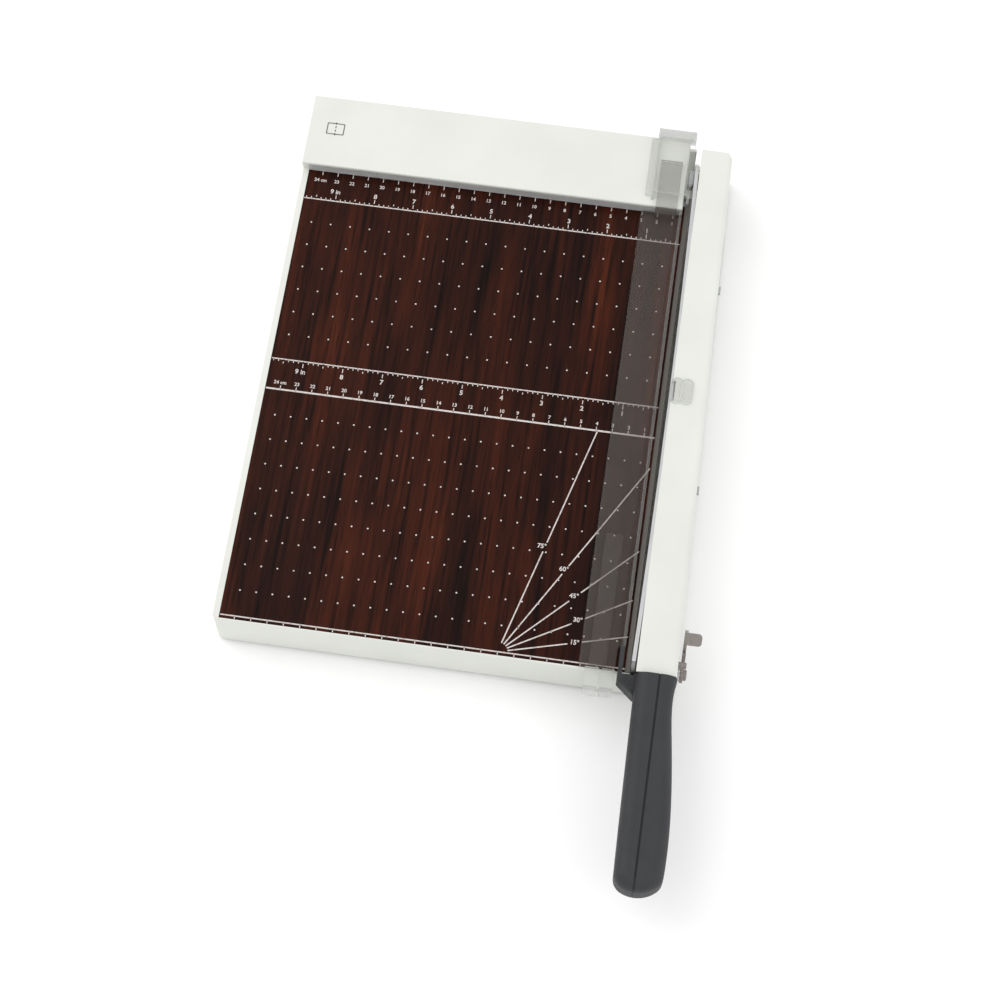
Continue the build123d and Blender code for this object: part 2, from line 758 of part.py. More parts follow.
def make_guide_clip():
    with BuildPart() as guide_clip:
        with BuildSketch(level(cover_top)):
            with Locations(*[(x, clip_y) for x in clip_xs]):
                SlotOverall(clip_length, 7.6, rotation=90)
            with Locations((sum(clip_xs) / 2, clip_y)):
                Rectangle(7, clip_length - 6)
        extrude(amount=clip_base)
        for x in clip_xs:
            with BuildSketch(level(cover_top + clip_base)):
                with Locations((x, clip_y)):
                    SlotOverall(clip_length - 3, 4.8, rotation=90)
            extrude(amount=1.4, taper=20)
        # A tongue that bears on the blade's back
        along = (clip_y - clip_reach, clip_y + clip_reach)
        block((clip_xs[0] - 3.6, cover_left - 0.3), along, (blade_top + 0.05, cover_top + clip_base))
    guide_clip.part.label = "guide_clip"
    export_step(guide_clip.part, "parts/guide_clip.step")


def make_guard_plate():
    with BuildPart() as guard_plate:
        with BuildSketch(section(guard_back)):
            with BuildLine():
                Polyline(
                    (guard_left, guard_bottom),
                    (guard_right, guard_bottom),
                    (guard_right, guard_top),
                    (guard_right - 4.0, guard_top),
                    (guard_right - 4.0, guard_top + 1.5),
                    (guard_right - 10.0, guard_top + 1.5),
                    (guard_right - 10.0, guard_top),
                    (guard_left + guard_chamfer, guard_top),
                    (guard_left, guard_top - guard_chamfer),
                    close=True,
                )
            make_face()
        extrude(amount=guard_back - guard_front)
        # The front right corner is cut away beside the handle's finger stop
        notch = (collar_left - stop_play, guard_right + 1)
        block(notch, (guard_front - 1, stop_back + stop_play), (guard_bottom - 1, guard_top + 3), Mode.SUBTRACT)
        # Rear riser and tongue, which slide up and down in the rear bracket
        across = (tongue_left, tongue_right)
        block(across, (guard_back - 3, guard_back), (guard_bottom, tongue_bottom + tongue_thickness))
        block(across, (guard_back - 3, 346), (tongue_bottom, tongue_bottom + tongue_thickness))
    guard_plate.part.label = "guard_plate"
    export_step(guard_plate.part, "parts/guard_plate.step")


def make_guard_fin():
    """Make the upright fin that keeps fingers off the blade."""
    with BuildPart() as guard_fin:
        across = (guard_right - fin_thickness, guard_right)
        block(across, (stop_back + stop_play, guard_back), (guard_top, fin_top))
        fillet(guard_fin.edges().filter_by(Axis.Y).group_by(Axis.Z)[-1], radius=0.5)
    guard_fin.part.label = "guard_fin"
    export_step(guard_fin.part, "parts/guard_fin.step")


def make_guard_tabs():
    """Make the two lifting tabs that reach over the front wall."""
    with BuildPart() as guard_tabs:
        for across in tab_spans:
            block(across, (tab_front, guard_front), (guard_bottom, tab_top))
            block(across, (tab_front, tab_front + tab_thickness), (tab_bottom, tab_top))
        tips = guard_tabs.edges().filter_by(Axis.X).group_by(Axis.Y)[0]
        fillet(tips, radius=1.5)
    guard_tabs.part.label = "guard_tabs"
    export_step(guard_tabs.part, "parts/guard_tabs.step")


def make_press_pad():
    with BuildPart() as press_pad:
        with BuildSketch(level(guard_top)):
            with Locations(((pad_left + pad_right) / 2, 41.5)):
                RectangleRounded(pad_right - pad_left, 86, 1.5)
        extrude(amount=1.1)
        fillet(press_pad.faces().sort_by(Axis.Z)[-1].edges(), radius=0.4)
    press_pad.part.label = "press_pad"
    export_step(press_pad.part, "parts/press_pad.step")


def make_rear_bracket():
    with BuildPart() as rear_bracket:
        with BuildSketch(side(bracket_left)):
            with BuildLine():
                Polyline(
                    (bracket_front, fence_top),
                    (bracket_front + 4, bracket_top),
                    (bracket_back, bracket_top),
                    (bracket_back, 3.5),
                    (base_back + 0.3, 3.5),
                    (base_back + 0.3, fence_top),
                    close=True,
                )
            make_face()
        extrude(amount=bracket_right - bracket_left)
        block(
            (bracket_left + bracket_wall, bracket_right - bracket_wall),
            (bracket_front - 1, base_back - bracket_wall),
            (fence_top - 1, bracket_top - bracket_wall),
            Mode.SUBTRACT,
        )
        flange = (bracket_left - 4, bracket_left)
        block(flange, (bracket_front + 3, base_back - 2), (fence_top, fence_top + 1.2))
    rear_bracket.part.label = "rear_bracket"
    export_step(rear_bracket.part, "parts/rear_bracket.step")


def make_latch_lever():
    lean = math.radians(latch_lean)
    leaning = Plane(
        origin=(cut_x + latch_plate_x, line_y + latch_y, board_z + latch_z),
        x_dir=(0, math.cos(lean), -math.sin(lean)),
        z_dir=(1, 0, 0),
    )
    with BuildPart() as latch_lever:
        with BuildSketch(leaning):
            Circle(5)
            with Locations((1.0, 0)):
                Rectangle(9, latch_length, align=(Align.CENTER, Align.MIN))
            with Locations((-2.2, catch_height)):
                Rectangle(9.6, 2 * stud_radius + 2, mode=Mode.SUBTRACT)
            Circle(latch_pin_radius + running_gap, mode=Mode.SUBTRACT)
        extrude(amount=latch_thickness)
        # Thumb tab, bent outwards at the far end
        with BuildSketch(leaning.offset(latch_thickness - 0.1)):
            with Locations((-2.7, latch_length)):
                Rectangle(1.6, latch_tab_width, align=(Align.CENTER, Align.MAX))
        extrude(amount=latch_tab_reach)
        tips = latch_lever.faces().sort_by(Axis.X)[-1].edges()
        fillet(tips.sort_by(SortBy.LENGTH)[:2], radius=2.2)
    latch_lever.part.label = "latch_lever"
    export_step(latch_lever.part, "parts/latch_lever.step")


def make_latch_screw():
    spot = (latch_y, latch_z)
    head = latch_plate_x + latch_thickness + 0.15
    outside = wing_edge(latch_y)
    with BuildPart() as latch_screw:
        rod((outside - wall - 3.5, outside + 0.1), spot, 1.7)
        rod((outside + 0.07, head), spot, latch_pin_radius)
        rod((head, head + 1.9), spot, 3.4)
        chamfer(latch_screw.edges().filter_by(GeomType.CIRCLE).sort_by(Axis.X)[-1], length=0.5)
    latch_screw.part.label = "latch_screw"
    export_step(latch_screw.part, "parts/latch_screw.step")


def make_latch_spring():
    spot = (latch_y, latch_z)
    with BuildPart() as latch_spring:
        rod((wing_edge(latch_y) + 0.1, latch_plate_x - 0.1), spot, 4.2)
        rod((wing_edge(latch_y), latch_plate_x), spot, latch_pin_radius + 0.3, Mode.SUBTRACT)
    latch_spring.part.label = "latch_spring"
    export_step(latch_spring.part, "parts/latch_spring.step")


def make_catch_stud():
    spot = (latch_y, latch_z + catch_height)
    with BuildPart() as catch_stud:
        outside = arm_edge(latch_y) + head_lift
        rod((outside - cover_wall - channel_play - 2.4, outside), spot, 1.45)
        rod((outside, latch_plate_x + latch_thickness + 0.9), spot, stud_radius)
        chamfer(catch_stud.edges().filter_by(GeomType.CIRCLE).sort_by(Axis.X)[-1], length=0.4)
    catch_stud.part.label = "catch_stud"
    export_step(catch_stud.part, "parts/catch_stud.step")


make_base_shell()
make_board_panel()
make_bottom_plate()
make_feet()
make_foot_screws()
make_fence_cover()
make_fence_rail()
make_fence_screws()
make_blade_bed()
make_bed_screws()
make_fixed_blade()
make_fixed_blade_screws()
make_moving_blade()
make_blade_screws()
make_blade_spacers()
make_arm_channel()
make_arm_cover()
make_cover_screws()
make_handle_tang()
make_tang_screws()
make_handle_shells()
make_handle_screws()
make_pivot_bracket()
make_bracket_screws()
make_pivot_bolt()
make_pivot_bush()
make_pivot_springs()
make_pivot_nut()
make_arm_bumper()
make_guide_clip()
make_guard_plate()
make_guard_fin()
make_guard_tabs()
make_press_pad()
make_rear_bracket()
make_latch_lever()
make_latch_screw()
make_latch_spring()
make_catch_stud()
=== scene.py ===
"""Looks of the guillotine paper cutter: finishes, printed board, screws, grip details and a studio."""
from __future__ import annotations

import json
import logging
import math
from dataclasses import dataclass
from enum import Enum

import bpy
from mathutils import Matrix, Vector

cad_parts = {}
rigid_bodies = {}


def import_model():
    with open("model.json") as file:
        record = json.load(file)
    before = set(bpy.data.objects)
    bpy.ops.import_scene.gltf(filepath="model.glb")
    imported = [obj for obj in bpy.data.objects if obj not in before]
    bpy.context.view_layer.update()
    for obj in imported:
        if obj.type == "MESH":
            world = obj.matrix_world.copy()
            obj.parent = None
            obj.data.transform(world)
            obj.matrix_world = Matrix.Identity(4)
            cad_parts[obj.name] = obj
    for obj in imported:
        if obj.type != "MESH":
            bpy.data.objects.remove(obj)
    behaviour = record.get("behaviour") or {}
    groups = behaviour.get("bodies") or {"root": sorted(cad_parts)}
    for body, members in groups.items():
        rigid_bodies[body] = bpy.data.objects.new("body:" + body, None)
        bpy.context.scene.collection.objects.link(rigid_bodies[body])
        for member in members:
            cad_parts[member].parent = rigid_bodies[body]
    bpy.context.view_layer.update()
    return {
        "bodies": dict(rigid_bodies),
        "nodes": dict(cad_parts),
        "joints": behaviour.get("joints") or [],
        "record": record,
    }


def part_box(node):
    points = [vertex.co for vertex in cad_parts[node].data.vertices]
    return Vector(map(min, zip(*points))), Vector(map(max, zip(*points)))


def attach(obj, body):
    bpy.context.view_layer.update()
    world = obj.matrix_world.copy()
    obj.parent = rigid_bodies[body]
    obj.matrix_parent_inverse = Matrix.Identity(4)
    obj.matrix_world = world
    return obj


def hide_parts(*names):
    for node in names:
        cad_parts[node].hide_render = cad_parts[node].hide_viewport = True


LOG = logging.getLogger("paper_cutter")
MM = 0.001


class Body(str, Enum):
    """The moving bodies of the cutter."""

    BASE = "base"
    ARM = "arm"
    GUARD = "guard"
    LATCH = "latch"


class Heading(Enum):
    """The ways a screw's head can face."""

    UP = (0.0, 0.0, 1.0)
    DOWN = (0.0, 0.0, -1.0)
    RIGHT = (1.0, 0.0, 0.0)
    LEFT = (-1.0, 0.0, 0.0)


def ink(red: int, green: int, blue: int) -> tuple[float, float, float, float]:
    """Turn a display colour into a linear one.

    Args:
        red: Red from 0 to 255.
        green: Green from 0 to 255.
        blue: Blue from 0 to 255.

    Returns:
        The linear colour with full alpha.
    """

    def linear(level: int) -> float:
        """Return one channel's linear value."""
        share = level / 255.0
        return share / 12.92 if share <= 0.04045 else ((share + 0.055) / 1.055) ** 2.4

    return (linear(red), linear(green), linear(blue), 1.0)


# ---------------------------------------------------------------- workshop


def clear_selection() -> None:
    """Leave edit mode and deselect everything."""
    if bpy.context.object and bpy.context.object.mode != "OBJECT":
        bpy.ops.object.mode_set(mode="OBJECT")
    bpy.ops.object.select_all(action="DESELECT")


def take(*pieces: bpy.types.Object) -> None:
    """Select only these pieces and make the last one active.

    Args:
        pieces: The pieces to select.
    """
    clear_selection()
    for piece in pieces:
        piece.select_set(True)
    bpy.context.view_layer.objects.active = pieces[-1]


def settle(piece: bpy.types.Object) -> bpy.types.Object:
    """Put a piece's place, turn and size into its mesh.

    Args:
        piece: The piece to settle.

    Returns:
        The same piece, with its object at the origin.
    """
    take(piece)
    bpy.ops.object.transform_apply(location=True, rotation=True, scale=True)
    return piece


def new_block(name: str, low: Vector, high: Vector) -> bpy.types.Object:
    """Add a cuboid between two corners, as a start for a piece.

    Args:
        name: The piece's name.
        low: Lowest corner in metres.
        high: Highest corner in metres.

    Returns:
        The cuboid, settled.
    """
    clear_selection()
    bpy.ops.mesh.primitive_cube_add(size=1.0, location=(low + high) / 2)
    piece = bpy.context.object
    piece.name = name
    piece.scale = high - low
    return settle(piece)


def pick_faces(piece: bpy.types.Object, test) -> None:
    """Enter edit mode with only the faces that pass a test selected.

    Args:
        piece: The piece to edit.
        test: Called with each face, true for the faces to select.
    """
    take(piece)
    bpy.ops.object.mode_set(mode="EDIT")
    bpy.ops.mesh.select_mode(type="FACE")
    bpy.ops.mesh.select_all(action="DESELECT")
    bpy.ops.object.mode_set(mode="OBJECT")
    for face in piece.data.polygons:
        face.select = bool(test(face))
    bpy.ops.object.mode_set(mode="EDIT")


def pick_edges(piece: bpy.types.Object, test) -> None:
    """Enter edit mode with only the edges that pass a test selected.

    Args:
        piece: The piece to edit.
        test: Called with an edge's two corners, true for the edges to select.
    """
    take(piece)
    bpy.ops.object.mode_set(mode="EDIT")
    bpy.ops.mesh.select_mode(type="EDGE")
    bpy.ops.mesh.select_all(action="DESELECT")
    bpy.ops.object.mode_set(mode="OBJECT")
    corners = piece.data.vertices
    for edge in piece.data.edges:
        first, second = edge.vertices
        edge.select = bool(test(corners[first].co, corners[second].co))
    bpy.ops.object.mode_set(mode="EDIT")


def finish_edit(piece: bpy.types.Object, angle: float = 35.0) -> bpy.types.Object:
    """Leave edit mode, make faces point outwards and shade by angle.

    Args:
        piece: The piece being edited.
        angle: Edges sharper than this many degrees stay sharp.

    Returns:
        The same piece.
    """
    take(piece)
    bpy.ops.object.mode_set(mode="EDIT")
    bpy.ops.mesh.select_all(action="SELECT")
    bpy.ops.mesh.normals_make_consistent(inside=False)
    bpy.ops.object.mode_set(mode="OBJECT")
    bpy.ops.object.shade_smooth_by_angle(angle=math.radians(angle))
    return piece


def add_modifier(piece: bpy.types.Object, kind: str, **settings) -> bpy.types.Object:
    """Give a piece a modifier and apply it.

    Args:
        piece: The piece to change.
        kind: Blender's name for the modifier type.
        settings: Values for the modifier.

    Returns:
        The same piece.
    """
    take(piece)
    modifier = piece.modifiers.new(kind.title(), kind)
    for key, value in settings.items():
        setattr(modifier, key, value)
    bpy.ops.object.modifier_apply(modifier=modifier.name)
    return piece


def soften(piece: bpy.types.Object, width: float, segments: int = 2) -> bpy.types.Object:
    """Round a piece's sharp edges.

    Args:
        piece: The piece to round.
        width: Width of the rounding in metres.
        segments: Steps in each rounding.

    Returns:
        The same piece.
    """
    angle = math.radians(35)
    add_modifier(piece, "BEVEL", width=width, segments=segments, limit_method="ANGLE", angle_limit=angle)
    return finish_edit(piece)


def copy_to(piece: bpy.types.Object, place: Matrix) -> bpy.types.Object:
    """Copy a piece with a mesh of its own and settle the copy at a place.

    Args:
        piece: The piece to copy.
        place: Where the copy goes.

    Returns:
        The settled copy.
    """
    twin = piece.copy()
    twin.data = piece.data.copy()
    bpy.context.collection.objects.link(twin)
    twin.matrix_world = place
    return settle(twin)


def join(name: str, pieces: list[bpy.types.Object]) -> bpy.types.Object:
    """Join settled pieces into one.

    Args:
        name: The joined piece's name.
        pieces: What to join.

    Returns:
        The joined piece.
    """
    take(*pieces)
    if len(pieces) > 1:
        bpy.ops.object.join()
    whole = bpy.context.object
    whole.name = name
    return whole


def scrap(piece: bpy.types.Object) -> None:
    """Delete a pattern piece that was only there to be copied."""
    take(piece)
    bpy.ops.object.delete()


# ---------------------------------------------------------------- finishes


class Bench:
    """A material being mixed: its nodes, its links and its one shader."""

    def __init__(self, name: str) -> None:
        """Start a material with a clean shader.

        Args:
            name: The material's name.
        """
        self.material = bpy.data.materials.new(name)
        self.material.use_nodes = True
        self.tree = self.material.node_tree
        self.shader = self.tree.nodes["Principled BSDF"]
        self.place = self.tree.nodes.new("ShaderNodeTexCoord").outputs["Object"]

    def node(self, kind: str, **settings) -> bpy.types.Node:
        """Add a node.

        Args:
            kind: The node's type name.
            settings: Values for its own properties.

        Returns:
            The node.
        """
        made = self.tree.nodes.new(kind)
        for key, value in settings.items():
            setattr(made, key, value)
        return made

    def join(self, source: bpy.types.NodeSocket, target: bpy.types.NodeSocket) -> None:
        """Link two sockets."""
        self.tree.links.new(source, target)

    def set(self, **values) -> None:
        """Set the shader's own sockets, with underscores for the spaces in their names."""
        for key, value in values.items():
            self.shader.inputs[key.replace("_", " ")].default_value = value

    def stretched(self, scale: tuple[float, float, float]) -> bpy.types.NodeSocket:
        """Return the object's coordinates, stretched by a scale on each axis."""
        mapping = self.node("ShaderNodeMapping")
        mapping.inputs["Scale"].default_value = scale
        self.join(self.place, mapping.inputs["Vector"])
        return mapping.outputs["Vector"]

    def noise(
        self,
        scale: float,
        detail: float = 3.0,
        roughness: float = 0.5,
        stretch: tuple[float, float, float] = (1.0, 1.0, 1.0),
        distortion: float = 0.0,
    ) -> bpy.types.NodeSocket:
        """Add a noise pattern.

        Args:
            scale: Features in each metre.
            detail: Octaves.
            roughness: How strong the finer octaves are.
            stretch: Stretch on each axis.
            distortion: How much the pattern is warped.

        Returns:
            The pattern, from 0 to 1.
        """
        made = self.node("ShaderNodeTexNoise")
        made.inputs["Scale"].default_value = scale
        made.inputs["Detail"].default_value = detail
        made.inputs["Roughness"].default_value = roughness
        made.inputs["Distortion"].default_value = distortion
        self.join(self.stretched(stretch), made.inputs["Vector"])
        return made.outputs["Fac"]

    def cells(self, scale: float, feature: str = "F1") -> bpy.types.NodeSocket:
        """Return the distance pattern of a cell texture with this many cells in a metre."""
        made = self.node("ShaderNodeTexVoronoi", feature=feature)
        made.inputs["Scale"].default_value = scale
        self.join(self.place, made.inputs["Vector"])
        return made.outputs["Distance"]

    def ramp(self, level: bpy.types.NodeSocket, stops: list[tuple[float, tuple]]) -> bpy.types.NodeSocket:
        """Colour a pattern.

        Args:
            level: The pattern, from 0 to 1.
            stops: Positions and their colours, in order.

        Returns:
            The colour.
        """
        made = self.node("ShaderNodeValToRGB")
        elements = made.color_ramp.elements
        while len(elements) < len(stops):
            elements.new(0.5)
        for element, (position, colour) in zip(elements, stops):
            element.position = position
            element.color = colour
        self.join(level, made.inputs["Fac"])
        return made.outputs["Color"]

    def spread(
        self, level: bpy.types.NodeSocket, low: float, high: float, start: float = 0.0, end: float = 1.0
    ) -> bpy.types.NodeSocket:
        """Map a pattern's range from start and end onto low and high.

        Args:
            level: The pattern.
            low: Value at the start.
            high: Value at the end.
            start: Where the range starts.
            end: Where the range ends.

        Returns:
            The mapped value.
        """
        made = self.node("ShaderNodeMapRange")
        made.inputs["From Min"].default_value = start
        made.inputs["From Max"].default_value = end
        made.inputs["To Min"].default_value = low
        made.inputs["To Max"].default_value = high
        self.join(level, made.inputs["Value"])
        return made.outputs["Result"]

    def blend(
        self, share: bpy.types.NodeSocket, first: bpy.types.NodeSocket, second: bpy.types.NodeSocket, how: str
    ) -> bpy.types.NodeSocket:
        """Mix two colours.

        Args:
            share: How much of the second shows.
            first: The first colour.
            second: The second colour.
            how: Blender's name for the way of mixing.

        Returns:
            The mixed colour.
        """
        made = self.node("ShaderNodeMix", data_type="RGBA", blend_type=how)
        self.join(share, made.inputs[0])
        self.join(first, made.inputs[6])
        self.join(second, made.inputs[7])
        return made.outputs[2]

    def bump(self, height: bpy.types.NodeSocket, depth: float, strength: float = 0.5) -> None:
        """Raise the surface by a pattern.

        Args:
            height: The pattern.
            depth: Its height in metres.
            strength: How strongly it shows.
        """
        made = self.node("ShaderNodeBump")
        made.inputs["Distance"].default_value = depth
        made.inputs["Strength"].default_value = strength
        self.join(height, made.inputs["Height"])
        self.join(made.outputs["Normal"], self.shader.inputs["Normal"])


@dataclass(frozen=True)
class MouldedPlastic:
    """Satin moulded plastic with a fine grain and faint flow marks."""

    name: str
    shade: tuple[int, int, int]
    roughness: float = 0.42
    grain: float = 2200.0
    depth: float = 0.00005

    def make(self) -> bpy.types.Material:
        """Build the material."""
        bench = Bench(self.name)
        pale = ink(*self.shade)
        deep = tuple(0.93 * level for level in pale[:3]) + (1.0,)
        bench.join(bench.ramp(bench.noise(18, 4), [(0.3, deep), (0.7, pale)]), bench.shader.inputs["Base Color"])
        fine = bench.noise(self.grain, 2)
        rough = bench.spread(fine, self.roughness - 0.05, self.roughness + 0.07, 0.3, 0.7)
        bench.join(rough, bench.shader.inputs["Roughness"])
        bench.bump(fine, self.depth, 0.35)
        return bench.material


@dataclass(frozen=True)
class PowderCoat:
    """Powder-coated sheet metal with a soft orange peel."""

    name: str
    shade: tuple[int, int, int]

    def make(self) -> bpy.types.Material:
        """Build the material."""
        bench = Bench(self.name)
        pale = ink(*self.shade)
        deep = tuple(0.95 * level for level in pale[:3]) + (1.0,)
        bench.join(bench.ramp(bench.noise(26, 3), [(0.3, deep), (0.7, pale)]), bench.shader.inputs["Base Color"])
        peel = bench.noise(700, 2, 0.4)
        bench.join(bench.spread(bench.noise(90, 2), 0.3, 0.4), bench.shader.inputs["Roughness"])
        bench.bump(peel, 0.00009, 0.3)
        return bench.material


@dataclass(frozen=True)
class WalnutLaminate:
    """Dark walnut laminate, with its grain along the cutting line."""

    name: str = "walnut_laminate"

    def make(self) -> bpy.types.Material:
        """Build the material."""
        bench = Bench(self.name)
        broad = bench.noise(34, 4, 0.6, (1.0, 0.10, 1.0), 0.35)
        streaks = bench.noise(310, 5, 0.62, (1.0, 0.035, 1.0))
        pores = bench.noise(1500, 2, 0.5, (1.0, 0.03, 1.0))
        ground = bench.ramp(
            broad,
            [(0.3, ink(27, 9, 5)), (0.45, ink(50, 21, 11)), (0.58, ink(64, 28, 15)), (0.75, ink(92, 44, 22))],
        )
        lines = bench.ramp(streaks, [(0.34, ink(84, 70, 64)), (0.48, ink(205, 190, 180)), (0.66, ink(255, 236, 216))])
        full = bench.node("ShaderNodeValue")
        full.outputs[0].default_value = 0.9
        grained = bench.blend(full.outputs[0], ground, lines, "MULTIPLY")
        dark = bench.ramp(pores, [(0.28, ink(90, 80, 76)), (0.4, ink(255, 255, 255))])
        bench.join(bench.blend(full.outputs[0], grained, dark, "MULTIPLY"), bench.shader.inputs["Base Color"])
        bench.join(bench.spread(streaks, 0.5, 0.36, 0.3, 0.7), bench.shader.inputs["Roughness"])
        bench.bump(pores, 0.00004, 0.3)
        bench.set(Specular_IOR_Level=0.08)
        return bench.material


@dataclass(frozen=True)
class ClearAcrylic:
    """Clear acrylic: faint on its faces, brighter where a sawn edge gathers light."""

    name: str
    face: float = 0.1
    rim: float = 0.5
    shade: tuple[int, int, int] = (214, 215, 212)

    def make(self) -> bpy.types.Material:
        """Build the material."""
        bench = Bench(self.name)
        pale = ink(*self.shade)
        cloud = bench.noise(60, 3)
        dim = tuple(0.9 * level for level in pale[:3]) + (1.0,)
        bench.join(bench.ramp(cloud, [(0.3, dim), (0.7, pale)]), bench.shader.inputs["Base Color"])
        split = bench.node("ShaderNodeSeparateXYZ")
        normal = bench.node("ShaderNodeTexCoord")
        bench.join(normal.outputs["Normal"], split.inputs[0])
        upright = bench.node("ShaderNodeMath", operation="ABSOLUTE")
        bench.join(split.outputs["Z"], upright.inputs[0])
        edge = bench.spread(upright.outputs[0], self.rim, self.face, 0.2, 0.85)
        facing = bench.node("ShaderNodeLayerWeight")
        facing.inputs["Blend"].default_value = 0.25
        gloss = bench.node("ShaderNodeMath", operation="MULTIPLY_ADD", use_clamp=True)
        gloss.inputs[1].default_value = 0.2
        bench.join(facing.outputs["Fresnel"], gloss.inputs[0])
        bench.join(edge, gloss.inputs[2])
        bench.join(gloss.outputs[0], bench.shader.inputs["Alpha"])
        bench.join(bench.spread(cloud, 0.12, 0.2), bench.shader.inputs["Roughness"])
        bench.set(IOR=1.49)
        return bench.material


@dataclass(frozen=True)
class WorkedMetal:
    """Bare or plated metal with grinding or drawing marks along one way."""

    name: str
    shade: tuple[int, int, int]
    roughness: float = 0.3
    marks: tuple[float, float, float] = (1.0, 0.02, 1.0)
    scale: float = 2600.0
    depth: float = 0.00002
    spots: float = 0.0
    metallic: float = 1.0

    def make(self) -> bpy.types.Material:
        """Build the material."""
        bench = Bench(self.name)
        pale = ink(*self.shade)
        deep = tuple(0.8 * level for level in pale[:3]) + (1.0,)
        lines = bench.noise(self.scale, 3, 0.6, self.marks)
        colour = bench.ramp(lines, [(0.3, deep), (0.65, pale)])
        if self.spots:
            cells = bench.ramp(bench.cells(self.spots), [(0.1, ink(205, 205, 210)), (0.6, ink(255, 255, 255))])
            share = bench.node("ShaderNodeValue")
            share.outputs[0].default_value = 0.7
            colour = bench.blend(share.outputs[0], colour, cells, "MULTIPLY")
        bench.join(colour, bench.shader.inputs["Base Color"])
        rough = bench.spread(lines, self.roughness - 0.06, self.roughness + 0.12, 0.3, 0.7)
        bench.join(rough, bench.shader.inputs["Roughness"])
        bench.bump(lines, self.depth, 0.4)
        bench.set(Metallic=self.metallic)
        return bench.material


@dataclass(frozen=True)
class SinteredBronze:
    """Oil-filled sintered bronze with open pores."""

    name: str = "sintered_bronze"

    def make(self) -> bpy.types.Material:
        """Build the material."""
        bench = Bench(self.name)
        pores = bench.cells(3200)
        colour = bench.ramp(pores, [(0.12, ink(92, 62, 34)), (0.3, ink(168, 124, 70)), (0.8, ink(196, 150, 88))])
        bench.join(colour, bench.shader.inputs["Base Color"])
        bench.join(bench.spread(bench.noise(400, 3), 0.35, 0.55), bench.shader.inputs["Roughness"])
        bench.bump(pores, 0.00006, 0.6)
        bench.set(Metallic=0.9)
        return bench.material


@dataclass(frozen=True)
class GripPlastic:
    """Charcoal grip plastic with a spark-eroded texture."""

    name: str = "charcoal_grip_plastic"
    seam: float = 0.0
    seam_reach: float = 0.0009

    def make(self) -> bpy.types.Material:
        """Build the material, with painted shade darkening a band along the seam between the halves."""
        bench = Bench(self.name)
        tone = bench.ramp(bench.noise(40, 4), [(0.3, ink(34, 35, 38)), (0.7, ink(43, 44, 46))])
        split = bench.node("ShaderNodeSeparateXYZ")
        bench.join(bench.place, split.inputs[0])
        away = bench.node("ShaderNodeMath", operation="SUBTRACT")
        away.inputs[1].default_value = self.seam
        bench.join(split.outputs["X"], away.inputs[0])
        far = bench.node("ShaderNodeMath", operation="ABSOLUTE")
        bench.join(away.outputs[0], far.inputs[0])
        # Painted shade: a dark band along the seam's X stands in for the shadow in the groove between the two halves.
        seam_shade = bench.spread(far.outputs[0], 0.0, 1.0, self.seam_reach / 2, self.seam_reach)
        dark = bench.ramp(seam_shade, [(0.0, ink(70, 70, 70)), (1.0, ink(255, 255, 255))])
        full = bench.node("ShaderNodeValue")
        full.outputs[0].default_value = 1.0
        bench.join(bench.blend(full.outputs[0], tone, dark, "MULTIPLY"), bench.shader.inputs["Base Color"])
        texture = bench.cells(1700, "SMOOTH_F1")
        bench.join(bench.spread(texture, 0.46, 0.66, 0.0, 0.6), bench.shader.inputs["Roughness"])
        bench.bump(texture, 0.00012, 0.35)
        return bench.material


@dataclass(frozen=True)
class Rubber:
    """Matt black rubber with a dusting on its high spots."""

    name: str = "black_rubber_compound"

    def make(self) -> bpy.types.Material:
        """Build the material."""
        bench = Bench(self.name)
        dust = bench.noise(320, 5, 0.65)
        bench.join(bench.ramp(dust, [(0.4, ink(20, 20, 21)), (0.75, ink(44, 43, 42))]), bench.shader.inputs["Base Color"])
        bench.join(bench.spread(dust, 0.75, 0.92), bench.shader.inputs["Roughness"])
        bench.bump(bench.noise(1400, 3), 0.00012, 0.5)
        return bench.material


@dataclass(frozen=True)
class CoatedPlate:
    """Dark grey coated sheet steel, a little scuffed."""

    name: str = "grey_coated_plate"

    def make(self) -> bpy.types.Material:
        """Build the material."""
        bench = Bench(self.name)
        scuffs = bench.noise(160, 6, 0.7, (1.0, 0.3, 1.0), 0.6)
        tone = bench.ramp(scuffs, [(0.35, ink(66, 67, 69)), (0.62, ink(76, 77, 78)), (0.8, ink(104, 104, 104))])
        bench.join(tone, bench.shader.inputs["Base Color"])
        bench.join(bench.spread(scuffs, 0.5, 0.36), bench.shader.inputs["Roughness"])
        bench.bump(bench.noise(900, 2), 0.00006, 0.3)
        return bench.material


@dataclass(frozen=True)
class PrintInk:
    """Screen-printed ink, thin enough in places to let the ground show."""

    name: str
    full: tuple[int, int, int]
    worn: tuple[int, int, int]

    def make(self) -> bpy.types.Material:
        """Build the material."""
        bench = Bench(self.name)
        wear = bench.noise(520, 5, 0.7)
        bench.join(bench.ramp(wear, [(0.3, ink(*self.worn)), (0.5, ink(*self.full))]), bench.shader.inputs["Base Color"])
        bench.join(bench.spread(wear, 0.7, 0.5), bench.shader.inputs["Roughness"])
        return bench.material


